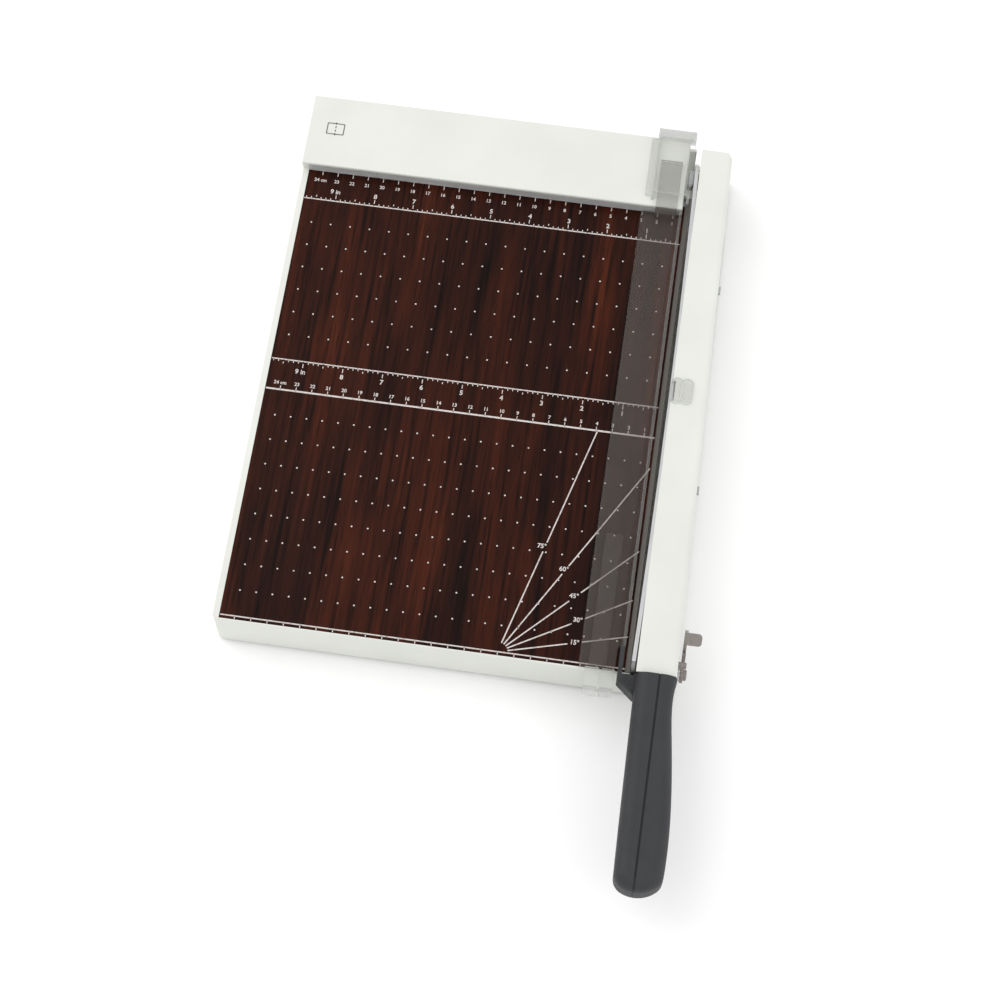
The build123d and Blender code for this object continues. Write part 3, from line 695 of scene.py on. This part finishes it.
class Paintbox:
    """Every finish of the cutter, made once, by the record's material slot."""

    FINISHES = {
        "white_shell": MouldedPlastic("white_moulded_shell", (218, 220, 213)),
        "white_arm": PowderCoat("white_powder_coat", (218, 220, 213)),
        "walnut": WalnutLaminate(),
        "clear_guard": ClearAcrylic("clear_acrylic"),
        "blade_steel": WorkedMetal("ground_blade_steel", (206, 206, 207), 0.3),
        "rail_steel": WorkedMetal("drawn_steel_strip", (206, 207, 206), 0.5, (0.02, 1.0, 1.0), metallic=0.35),
        "structure_steel": WorkedMetal("zinc_plated_steel", (172, 175, 179), 0.36, (1.0, 0.3, 1.0), 700, spots=160),
        "bed_aluminium": WorkedMetal("extruded_aluminium", (192, 194, 197), 0.42, (1.0, 0.01, 1.0), 1800),
        "fastener_zinc": WorkedMetal("zinc_plated_fastener", (184, 186, 188), 0.3, (1.0, 1.0, 1.0), 900),
        "nickel": WorkedMetal("satin_nickel", (150, 143, 139), 0.34, (1.0, 0.25, 0.25), 1400),
        "bronze": SinteredBronze(),
        "black_rubber": Rubber(),
        "plate_steel": CoatedPlate(),
    }

    def __init__(self) -> None:
        """Mix every finish, and the two inks that only new pieces use."""
        finishes = dict(self.FINISHES, charcoal_grip=GripPlastic(seam=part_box("handle_right")[0].x))
        self.mixed = {slot: finish.make() for slot, finish in finishes.items()}
        # Painted shade: a darker copy of the clear acrylic for the guard and pad, dimming their haze over the dark
        # board.
        self.guard_acrylic = ClearAcrylic("shaded_guard_acrylic", 0.15, 0.4, (122, 115, 110)).make()
        # Painted shade: a darker copy of the blade steel for the fixed blade, standing in for the shade it lies in
        # beside the arm.
        self.oiled_steel = WorkedMetal("shaded_blade_steel", (112, 108, 104), 0.4).make()
        self.board_ink = PrintInk("pale_board_ink", (206, 198, 194), (150, 138, 132)).make()
        self.mark_ink = PrintInk("grey_mark_ink", (96, 98, 100), (128, 130, 130)).make()

    def dress(self, piece: bpy.types.Object, finish: bpy.types.Material) -> None:
        """Give a whole piece one finish.

        Args:
            piece: The piece to dress.
            finish: Its material.
        """
        if not piece.data.materials:
            piece.data.materials.append(finish)
        for slot in piece.material_slots:
            slot.material = finish

    def dress_frame(self, frame: dict) -> None:
        """Give every CAD node the finish of its slot.
        """
        for part in frame["record"]["subparts"]:
            self.dress(frame["nodes"][part["node"]], self.mixed[part["material_slot"]])
            LOG.info("%s wears %s", part["node"], part["material_slot"])
        # The fixed blade wears the darker steel, which is painted shade.
        self.dress(frame["nodes"]["fixed_blade"], self.oiled_steel)
        # The guard and pad wear the darkened acrylic, which is painted shade.
        for node in ("guard_plate", "press_pad"):
            self.dress(frame["nodes"][node], self.guard_acrylic)

    def hand_over(
        self, piece: bpy.types.Object, body: Body, slot: str, finish: bpy.types.Material | None = None
    ) -> None:
        """Dress a new piece, put it on its body and report it.

        Args:
            piece: The new piece.
            body: The body it moves with.
            slot: The record's material slot it belongs to.
            finish: Its own material, where it isn't the slot's.
        """
        self.dress(piece, finish or self.mixed[slot])
        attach(piece, body.value)
        LOG.info("%s rides on %s, %d faces", piece.name, body.value, len(piece.data.polygons))


# ---------------------------------------------------------------- places


@dataclass(frozen=True)
class Datum:
    """The cutting line, the printed front line and the board's top, in metres."""

    cut: float
    line: float
    top: float

    @classmethod
    def from_frame(cls) -> "Datum":
        """Read the three references from the CAD nodes."""
        front_margin = 3.6 * MM
        return cls(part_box("fixed_blade")[1].x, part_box("base_shell")[0].y + front_margin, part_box("board_panel")[1].z)

    def at(self, across: float, along: float, up: float = 0.0) -> Vector:
        """Return a place in metres, given in millimetres from the three references."""
        return Vector((self.cut + across * MM, self.line + along * MM, self.top + up * MM))


# ---------------------------------------------------------------- printed board


@dataclass
class BoardPrint:
    """The scales, dots, numerals and angle lines printed on the board."""

    datum: Datum
    left: float = -249.0
    right: float = -3.3
    lift: float = 0.01
    film: float = 0.06
    fine: float = 0.8
    bold: float = 1.15
    dot: float = 0.55
    metric_pitch: float = 16.9
    metric_rows: int = 8
    middle_lower: float = 152.98
    middle_upper: float = 174.09
    inch: float = 25.4
    inch_dots_top: float = 274.12
    inch_rows: int = 6
    inch_pitch: float = 16.47
    top_line: float = 291.54
    fence: float = 312.4
    fan_point: float = -80.0

    def stroke(self, start: tuple[float, float], end: tuple[float, float], width: float) -> bpy.types.Object:
        """Lay one straight stroke with softened ends.

        Args:
            start: Across and along, in millimetres.
            end: Across and along, in millimetres.
            width: The stroke's width in millimetres.

        Returns:
            The stroke.
        """
        length = math.dist(start, end)
        clear_selection()
        bpy.ops.mesh.primitive_cube_add(size=1.0)
        bar = bpy.context.object
        bar.scale = (length * MM, width * MM, self.film * MM)
        settle(bar)
        half = length * MM / 2
        pick_edges(bar, lambda a, b: abs(a.x - b.x) < 1e-9 and abs(a.y - b.y) < 1e-9 and abs(a.x) > half * 0.9)
        bpy.ops.mesh.bevel(offset=0.3 * width * MM, segments=2)
        bpy.ops.object.mode_set(mode="OBJECT")
        turn = math.atan2(end[1] - start[1], end[0] - start[0])
        middle = ((start[0] + end[0]) / 2, (start[1] + end[1]) / 2)
        spot = self.datum.at(*middle, self.lift + self.film / 2)
        bar.matrix_world = Matrix.Translation(spot) @ Matrix.Rotation(turn, 4, "Z")
        return settle(bar)

    def repeat(self, mark: bpy.types.Object, step: float, count: int, axis: int = 0) -> bpy.types.Object:
        """Repeat a mark in a row.

        Args:
            mark: The mark to repeat.
            step: Millimetres from one to the next.
            count: How many in all.
            axis: 0 across, 1 along.

        Returns:
            The row as one piece.
        """
        offset = [0.0, 0.0, 0.0]
        offset[axis] = step * MM
        return add_modifier(
            mark,
            "ARRAY",
            count=count,
            use_relative_offset=False,
            use_constant_offset=True,
            constant_offset_displace=offset,
        )

    def ticks(self, first: float, along: float, length: float, step: float, count: int) -> bpy.types.Object:
        """Lay a row of ticks that start on a line.

        Args:
            first: Where the first tick stands, across.
            along: Where the line is.
            length: How far the ticks reach, negative towards the front.
            step: Millimetres from one tick to the next.
            count: How many ticks.

        Returns:
            The row.
        """
        return self.repeat(self.stroke((first, along), (first, along + length), 0.55), step, count)

    def dots(self, first: float, step: float, columns: int, start: float, pitch: float, rows: int) -> bpy.types.Object:
        """Lay a field of round dots.

        Args:
            first: The left column, across.
            step: Millimetres between columns.
            columns: How many columns.
            start: The first row, along.
            pitch: Millimetres between rows.
            rows: How many rows.

        Returns:
            The field.
        """
        clear_selection()
        spot = self.datum.at(first, start, self.lift + self.film / 2)
        bpy.ops.mesh.primitive_cylinder_add(vertices=14, radius=self.dot * MM, depth=self.film * MM, location=spot)
        mark = settle(bpy.context.object)
        top = spot.z + self.film * MM * 0.49
        pick_edges(mark, lambda a, b: a.z > top and b.z > top)
        bpy.ops.mesh.bevel(offset=0.02 * MM, segments=1)
        finish_edit(mark)
        return self.repeat(self.repeat(mark, step, columns), pitch, rows, 1)

    def numeral(self, words: str, across: float, along: float, height: float) -> bpy.types.Object:
        """Set one numeral, centred on a place.

        Args:
            words: What it says.
            across: Its middle, across.
            along: Its middle, along.
            height: Height of a digit in millimetres.

        Returns:
            The numeral as a mesh.
        """
        clear_selection()
        bpy.ops.object.text_add()
        text = bpy.context.object
        text.data.body = words
        text.data.size = height * MM / 0.7
        text.data.align_x = "CENTER"
        text.data.resolution_u = 3
        text.data.extrude = self.film * MM / 2
        text.data.offset = 0.035 * height * MM
        bpy.ops.object.convert(target="MESH")
        letters = bpy.context.object
        letters.matrix_world = Matrix.Translation(
            self.datum.at(across, along - height / 2, self.lift + self.film / 2)
        )
        return settle(letters)

    def numerals(self, unit: float, top: int, along: float, height: float, name: str) -> list[bpy.types.Object]:
        """Number a scale from the cutting line.

        Args:
            unit: Millimetres from one numeral to the next.
            top: The highest numeral, which carries the unit's name.
            along: Where the numerals' middles lie.
            height: Height of a digit in millimetres.
            name: The unit's short name.

        Returns:
            The numerals.
        """
        made = [self.numeral(str(count), -count * unit, along, height) for count in range(1, top)]
        made.append(self.numeral(f"{top}{name}", -top * unit - 0.3 * height, along, height))
        return made

    def inch_ticks(self, along: float, turn: int) -> list[bpy.types.Object]:
        """Lay the ticks of an inch scale.

        Args:
            along: Where its line is.
            turn: 1 for ticks towards the fence, -1 towards the front.

        Returns:
            The rows of ticks.
        """
        eighth = self.inch / 8
        return [
            self.ticks(-9 * self.inch, along, 4.4 * turn, self.inch, 9),
            self.ticks(-9.5 * self.inch, along, 3.0 * turn, self.inch, 10),
            self.ticks(-78 * eighth, along, 1.7 * turn, eighth, 77),
        ]

    def angle_fan(self) -> list[bpy.types.Object]:
        """Lay the five angle lines, each broken where its numeral stands."""
        made = []
        places = {75: (-62.9, 71.5), 60: (-47.6, 58.4), 45: (-39.2, 42.0), 30: (-35.0, 27.0), 15: (-35.1, 12.5)}
        for degrees, (across, along) in places.items():
            slope = math.tan(math.radians(degrees))
            end_along = min(self.middle_lower, (self.right - 0.4 - self.fan_point) * slope)
            run = Vector((math.cos(math.radians(degrees)), math.sin(math.radians(degrees))))
            whole = end_along / run.y
            mark = (Vector((across, along)) - Vector((self.fan_point, 0.0))).dot(run)
            gap = 4.4 if degrees < 60 else 3.2
            for near, far in ((6.0, mark - gap), (mark + gap, whole)):
                first = (self.fan_point + near * run.x, near * run.y)
                last = (self.fan_point + far * run.x, far * run.y)
                made.append(self.stroke(first, last, self.fine))
            made.append(self.numeral(f"{degrees}°", across, along, 2.9))
        return made

    def build(self, paint: Paintbox) -> None:
        """Print the whole board.

        Args:
            paint: The finishes.
        """
        lines = [
            self.stroke((self.left, 0), (self.right, 0), self.fine),
            self.stroke((self.left, self.middle_lower), (self.right, self.middle_lower), self.bold),
            self.stroke((self.left, self.middle_upper), (self.right, self.middle_upper), self.fine),
            self.stroke((self.left, self.top_line), (self.right, self.top_line), self.fine),
        ]
        lines += self.angle_fan()
        ticks = [
            self.ticks(-240, 0, -2.0, 10, 24),
            self.ticks(-240, self.middle_lower, 2.7, 10, 24),
            self.ticks(-240, self.fence, -2.6, 10, 24),
        ]
        ticks += self.inch_ticks(self.middle_upper, -1) + self.inch_ticks(self.top_line, 1)
        numbers = self.numerals(10, 24, self.middle_lower + 4.9, 2.3, " cm")
        numbers += self.numerals(self.inch, 9, self.middle_upper - 7.2, 3.1, " in")
        numbers += self.numerals(10, 24, self.top_line + 14.5, 2.3, " cm")
        numbers += self.numerals(self.inch, 9, self.top_line + 7.0, 3.1, " in")
        half = self.inch / 2
        fields = [
            self.dots(-240, 10, 24, self.metric_pitch, self.metric_pitch, self.metric_rows),
            self.dots(-19 * half, half, 19, self.inch_dots_top, -self.inch_pitch, self.inch_rows),
        ]
        groups = {"board_lines": lines, "board_ticks": ticks, "board_numerals": numbers, "board_dots": fields}
        for name, pieces in groups.items():
            paint.hand_over(join(name, pieces), Body.BASE, "walnut", paint.board_ink)


@dataclass
class FenceMark:
    """A plain mark on the fence: a sheet's outline with a dashed cut line."""

    datum: Datum
    across: float = -236.0
    along: float = 340.0
    width: float = 11.0
    height: float = 8.0
    line: float = 0.7
    dashes: int = 4

    def build(self, paint: Paintbox, printer: BoardPrint) -> None:
        """Print the mark on the fence's top.

        Args:
            paint: The finishes.
            printer: Lays the strokes.
        """
        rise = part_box("fence_cover")[1].z - self.datum.top
        left, right = self.across - self.width / 2, self.across + self.width / 2
        low, high = self.along - self.height / 2, self.along + self.height / 2
        strokes = [
            printer.stroke((left, low), (right, low), self.line),
            printer.stroke((left, high), (right, high), self.line),
            printer.stroke((left, low), (left, high), self.line),
            printer.stroke((right, low), (right, high), self.line),
        ]
        step = (self.height + 3.0) / self.dashes
        for dash in range(self.dashes):
            start = low - 1.5 + dash * step
            strokes.append(printer.stroke((self.across, start + 0.5), (self.across, start + step - 0.5), self.line))
        mark = join("fence_cut_mark", strokes)
        mark.location.z = rise
        paint.hand_over(settle(mark), Body.BASE, "white_shell", paint.mark_ink)


# ---------------------------------------------------------------- screws


@dataclass
class CrossScrew:
    """A pan-head screw with a cross recess, its head up at the origin."""

    head_radius: float
    head_height: float
    shank_radius: float
    shank_length: float
    sides: int = 32

    def head(self) -> bpy.types.Object:
        """Turn the head and shank from one cylinder."""
        clear_selection()
        bpy.ops.mesh.primitive_cylinder_add(
            vertices=self.sides,
            radius=self.head_radius,
            depth=self.head_height,
            location=(0, 0, self.head_height / 2),
        )
        screw = settle(bpy.context.object)
        pick_faces(screw, lambda face: face.normal.z < -0.9)
        bpy.ops.mesh.inset(thickness=self.head_radius - self.shank_radius)
        tip = self.shank_radius * 0.9
        bpy.ops.mesh.extrude_region_move(TRANSFORM_OT_translate={"value": (0, 0, tip - self.shank_length)})
        bpy.ops.mesh.extrude_region_move(TRANSFORM_OT_translate={"value": (0, 0, -tip)})
        bpy.ops.transform.resize(value=(0.45, 0.45, 1.0))
        top = self.head_height * 0.99
        pick_edges(screw, lambda a, b: a.z > top and b.z > top)
        bpy.ops.mesh.bevel(offset=self.head_height * 0.45, segments=4)
        return finish_edit(screw)

    def recess(self) -> bpy.types.Object:
        """Shape the cross that the driver leaves in the head."""
        reach, width, deep = self.head_radius * 0.58, self.head_radius * 0.2, self.head_height * 0.62
        bars = []
        for turn in (0.0, math.pi / 2):
            bar = new_block(
                "recess_bar",
                Vector((-reach, -width / 2, self.head_height - deep)),
                Vector((reach, width / 2, self.head_height + deep)),
            )
            pick_faces(bar, lambda face: face.normal.z < -0.9)
            bpy.ops.transform.resize(value=(0.55, 0.7, 1.0))
            bpy.ops.object.mode_set(mode="OBJECT")
            bars.append(copy_to(bar, Matrix.Rotation(turn, 4, "Z")))
            scrap(bar)
        return bars

    def build(self) -> bpy.types.Object:
        """Return one finished screw to copy."""
        screw = self.head()
        for bar in self.recess():
            add_modifier(screw, "BOOLEAN", operation="DIFFERENCE", object=bar, solver="EXACT")
            scrap(bar)
        return finish_edit(screw, 30)


@dataclass
class ScrewSet:
    """The screws of one CAD node, each in its own place."""

    node: str
    body: Body
    heading: Heading
    centres: list[Vector]
    slot: str = "fastener_zinc"

    def build(self, paint: Paintbox, pattern: CrossScrew) -> None:
        """Copy the pattern screw to each place and stand it in for the CAD node.

        Args:
            paint: The finishes.
            pattern: The screw to copy.
        """
        screw = pattern.build()
        way = Vector(self.heading.value)
        turn = Vector((0, 0, 1)).rotation_difference(way).to_matrix().to_4x4()
        copies = []
        for count, centre in enumerate(self.centres):
            spun = Matrix.Rotation(0.5 + 0.9 * count, 4, "Z")
            copies.append(copy_to(screw, Matrix.Translation(centre) @ turn @ spun))
        scrap(screw)
        whole = join(f"{self.node}_detailed", copies)
        paint.hand_over(whole, self.body, self.slot)
        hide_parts(self.node)


@dataclass
class Fasteners:
    """Every screw that can be seen."""

    datum: Datum

    def build(self, paint: Paintbox) -> None:
        """Make the sets of screws.

        Args:
            paint: The finishes.
        """
        low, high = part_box("foot_screws")
        spots = ((-236.0, 16.0), (10.0, 26.0), (-236.0, 344.0), (-24.0, 344.0))
        seat = low.z + 0.8 * MM
        feet = [Vector((*self.datum.at(*spot).xy, seat)) for spot in spots]
        pattern = CrossScrew(3.0 * MM, 0.8 * MM, 1.3 * MM, high.z - seat)
        ScrewSet("foot_screws", Body.BASE, Heading.DOWN, feet).build(paint, pattern)
        low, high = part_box("handle_screws")
        right = [Vector((high.x - 2.0 * MM, self.datum.at(0, y).y, (low.z + high.z) / 2)) for y in (-30.0, -68.0, -104.0)]
        pattern = CrossScrew(2.9 * MM, 2.0 * MM, 1.4 * MM, high.x - low.x - 2.0 * MM)
        ScrewSet("handle_screws", Body.ARM, Heading.RIGHT, right).build(paint, pattern)
        low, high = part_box("fence_screws")
        fence = [self.datum.at(x, 345.0, (low.z - self.datum.top) / MM + 2.0) for x in (-215.0, -130.0, -45.0)]
        pattern = CrossScrew(3.2 * MM, 2.0 * MM, 1.25 * MM, high.z - low.z - 2.0 * MM)
        ScrewSet("fence_screws", Body.BASE, Heading.DOWN, fence).build(paint, pattern)


# ---------------------------------------------------------------- edges


@dataclass(frozen=True)
class EdgeBreak:
    """Small rounded edges on CAD nodes, which also open the seams between their halves."""

    widths: tuple[tuple[str, float], ...] = (
        ("handle_left", 0.55),
        ("handle_right", 0.55),
        ("arm_cover", 0.35),
        ("fence_cover", 0.5),
        ("guard_plate", 0.35),
        ("guard_fin", 0.2),
        ("guard_tabs", 0.6),
        ("rear_bracket", 0.6),
        ("guide_clip", 0.35),
        ("latch_lever", 0.35),
        ("moving_blade", 0.15),
        ("fixed_blade", 0.15),
    )

    def build(self, frame: dict) -> None:
        """Put a live weld and bevel on each node.
        """
        for node, width in self.widths:
            piece = frame["nodes"][node]
            weld = piece.modifiers.new("weld", "WELD")
            weld.merge_threshold = 0.002 * MM
            bevel = piece.modifiers.new("edge_break", "BEVEL")
            bevel.width = width * MM
            bevel.segments = 3
            bevel.limit_method = "ANGLE"
            bevel.angle_limit = math.radians(40)
            bevel.harden_normals = True
            LOG.info("%s has its edges broken by %.2f mm", node, width)


# ---------------------------------------------------------------- grip


@dataclass
class CollarRidges:
    """Three ridges on the finger stop, side by side along its slanting edge."""

    datum: Datum
    start: tuple[float, float] = (-7.4, -10.2)
    end: tuple[float, float] = (3.0, -19.0)
    top: float = 9.5
    width: float = 1.3
    height: float = 0.55
    spacing: float = 2.1
    count: int = 3

    def build(self, paint: Paintbox) -> None:
        """Roll one ridge, copy it across the collar and dress the set.

        Args:
            paint: The finishes.
        """
        run = Vector((self.end[0] - self.start[0], self.end[1] - self.start[1]))
        inward = Vector((-run.y, run.x)).normalized()
        length = run.length - 2.5
        clear_selection()
        bpy.ops.mesh.primitive_cylinder_add(vertices=16, radius=0.5, depth=1.0, rotation=(0, math.pi / 2, 0))
        ridge = settle(bpy.context.object)
        pick_edges(ridge, lambda a, b: abs(a.x - b.x) < 1e-6)
        bpy.ops.mesh.bevel(offset=0.2, segments=3)
        finish_edit(ridge)
        ridge.scale = (length * MM, self.width * MM, 2 * self.height * MM)
        settle(ridge)
        copies = []
        for count in range(self.count):
            middle = Vector(self.start) + run / 2 + inward * (1.4 + self.spacing * count)
            turn = Matrix.Rotation(math.atan2(run.y, run.x), 4, "Z")
            copies.append(copy_to(ridge, Matrix.Translation(self.datum.at(*middle, self.top)) @ turn))
        scrap(ridge)
        paint.hand_over(join("collar_ridges", copies), Body.ARM, "charcoal_grip")


# ---------------------------------------------------------------- studio


@dataclass
class Studio:
    """The floor, the soft lights and the camera."""

    datum: Datum
    lens: float = 85.0
    yaw: float = 8.12
    tilt: float = 23.03
    roll: float = 0.06
    eye: tuple[float, float, float] = (-12.3, -464.6, 1336.7)

    def floor(self) -> None:
        """Lay a flat pale sheet under the bench."""
        clear_selection()
        bpy.ops.mesh.primitive_plane_add(size=12.0, location=(0, 0, -0.0004))
        sheet = settle(bpy.context.object)
        sheet.name = "studio_floor"
        bench = Bench("pale_floor")
        tone = bench.ramp(bench.noise(3, 2), [(0.3, ink(250, 250, 250)), (0.7, ink(253, 253, 253))])
        bench.join(tone, bench.shader.inputs["Base Color"])
        bench.set(Roughness=0.9, Specular_IOR_Level=0.1)
        sheet.data.materials.append(bench.material)

    def lights(self) -> None:
        """Hang a large soft light over the bench and a weaker one at the left."""
        for name, power, size, place, aim in (
            ("overhead_light", 12.0, 1.8, (-1.2, 0.5, 1.7), (0, 0, 0)),
            ("side_light", 4.0, 1.2, (1.7, -0.6, 1.2), (0, 0, 0)),
        ):
            data = bpy.data.lights.new(name, "AREA")
            data.energy = power
            data.size = size
            lamp = bpy.data.objects.new(name, data)
            bpy.context.collection.objects.link(lamp)
            lamp.location = place
            lamp.rotation_euler = (Vector(aim) - Vector(place)).to_track_quat("-Z", "Y").to_euler()
        world = bpy.data.worlds.new("white_room")
        world.use_nodes = True
        world.node_tree.nodes["Background"].inputs["Color"].default_value = (1.0, 1.0, 1.0, 1.0)
        world.node_tree.nodes["Background"].inputs["Strength"].default_value = 1.0
        bpy.context.scene.world = world

    def camera(self) -> None:
        """Stand the camera over the front edge, looking down and a little to the left."""
        data = bpy.data.cameras.new("bench_camera")
        data.lens = self.lens
        data.sensor_width = 36.0
        view = bpy.data.objects.new("bench_camera", data)
        bpy.context.collection.objects.link(view)
        turn = (
            Matrix.Rotation(math.radians(self.yaw), 4, "Z")
            @ Matrix.Rotation(math.radians(self.tilt), 4, "X")
            @ Matrix.Rotation(math.radians(self.roll), 4, "Z")
        )
        view.matrix_world = Matrix.Translation(self.datum.at(*self.eye)) @ turn
        bpy.context.scene.camera = view

    def build(self) -> None:
        """Set up the whole studio, with colours shown as they are lit."""
        bpy.context.scene.view_settings.view_transform = "Standard"
        self.floor()
        self.lights()
        self.camera()


def main() -> None:
    """Build the looks in order."""
    logging.basicConfig(level=logging.INFO, format="%(message)s")
    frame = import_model()
    paint = Paintbox()
    paint.dress_frame(frame)
    datum = Datum.from_frame()
    printer = BoardPrint(datum)
    printer.build(paint)
    FenceMark(datum).build(paint, printer)
    Fasteners(datum).build(paint)
    EdgeBreak().build(frame)
    CollarRidges(datum).build(paint)
    Studio(datum).build()


if __name__ == "__main__":
    main()
